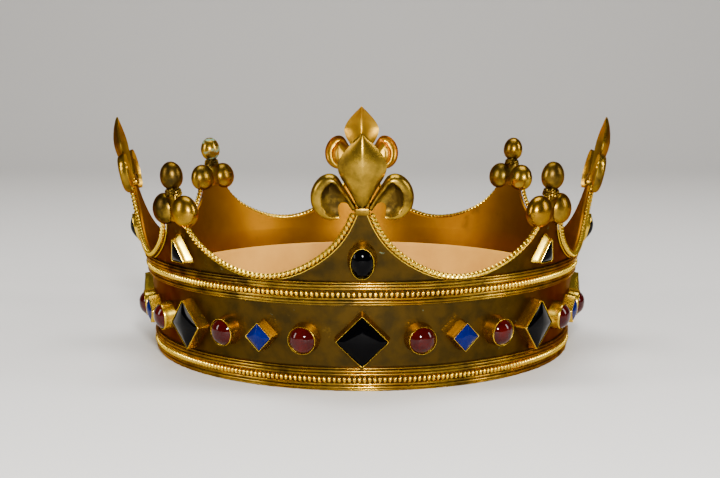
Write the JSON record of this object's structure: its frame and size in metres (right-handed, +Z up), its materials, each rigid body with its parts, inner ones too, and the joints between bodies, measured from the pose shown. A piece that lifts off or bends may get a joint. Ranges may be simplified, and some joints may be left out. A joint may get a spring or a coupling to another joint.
{
  "type": "crown",
  "caption": "Open gilt crown with fleur-de-lis and trefoil points, twisted edge wires, two beaded mouldings, cabochon stones in tall settings and a leather sweatband.",
  "frame": {"origin": "middle of the crown's foot, on the surface that it stands on", "axes": "+Z up, -Y towards the front fleur-de-lis, +X to the right as seen from the front"},
  "size_m": [0.2114, 0.2434, 0.0966],
  "materials": {
    "gilt_brass": "gold-plated and polished, with brown tarnish in the corners",
    "sweatband": "pale unfinished leather, matte",
    "onyx": "black, polished, opaque",
    "carnelian": "deep red, polished cabochon",
    "lapis": "deep blue, polished"
  },
  "bodies": {
    "root": {"shell": "gilt_brass", "lower_moulding": "gilt_brass", "upper_moulding": "gilt_brass", "sweatband": "sweatband", "front_fleur": "gilt_brass", "edge_wire_1": "gilt_brass", "front_right_trefoil": "gilt_brass", "edge_wire_2": "gilt_brass", "right_fleur": "gilt_brass", "edge_wire_3": "gilt_brass", "back_right_trefoil": "gilt_brass", "edge_wire_4": "gilt_brass", "back_fleur": "gilt_brass", "edge_wire_5": "gilt_brass", "back_left_trefoil": "gilt_brass", "edge_wire_6": "gilt_brass", "left_fleur": "gilt_brass", "edge_wire_7": "gilt_brass", "front_left_trefoil": "gilt_brass", "edge_wire_8": "gilt_brass", "onyx_lozenge_1": "onyx", "lapis_1": "lapis", "carnelian_1": "carnelian", "carnelian_2": "carnelian", "onyx_oval_front": "onyx", "onyx_lozenge_2": "onyx", "lapis_2": "lapis", "carnelian_3": "carnelian", "carnelian_4": "carnelian", "onyx_triangle_front_right": "onyx", "onyx_lozenge_3": "onyx", "lapis_3": "lapis", "carnelian_5": "carnelian", "carnelian_6": "carnelian", "onyx_oval_right": "onyx", "onyx_lozenge_4": "onyx", "lapis_4": "lapis", "carnelian_7": "carnelian", "carnelian_8": "carnelian", "onyx_triangle_back_right": "onyx", "onyx_lozenge_5": "onyx", "lapis_5": "lapis", "carnelian_9": "carnelian", "carnelian_10": "carnelian", "onyx_oval_back": "onyx", "onyx_lozenge_6": "onyx", "lapis_6": "lapis", "carnelian_11": "carnelian", "carnelian_12": "carnelian", "onyx_triangle_back_left": "onyx", "onyx_lozenge_7": "onyx", "lapis_7": "lapis", "carnelian_13": "carnelian", "carnelian_14": "carnelian", "onyx_oval_left": "onyx", "onyx_lozenge_8": "onyx", "lapis_8": "lapis", "carnelian_15": "carnelian", "carnelian_16": "carnelian", "onyx_triangle_front_left": "onyx"}
  },
  "joints": []
}
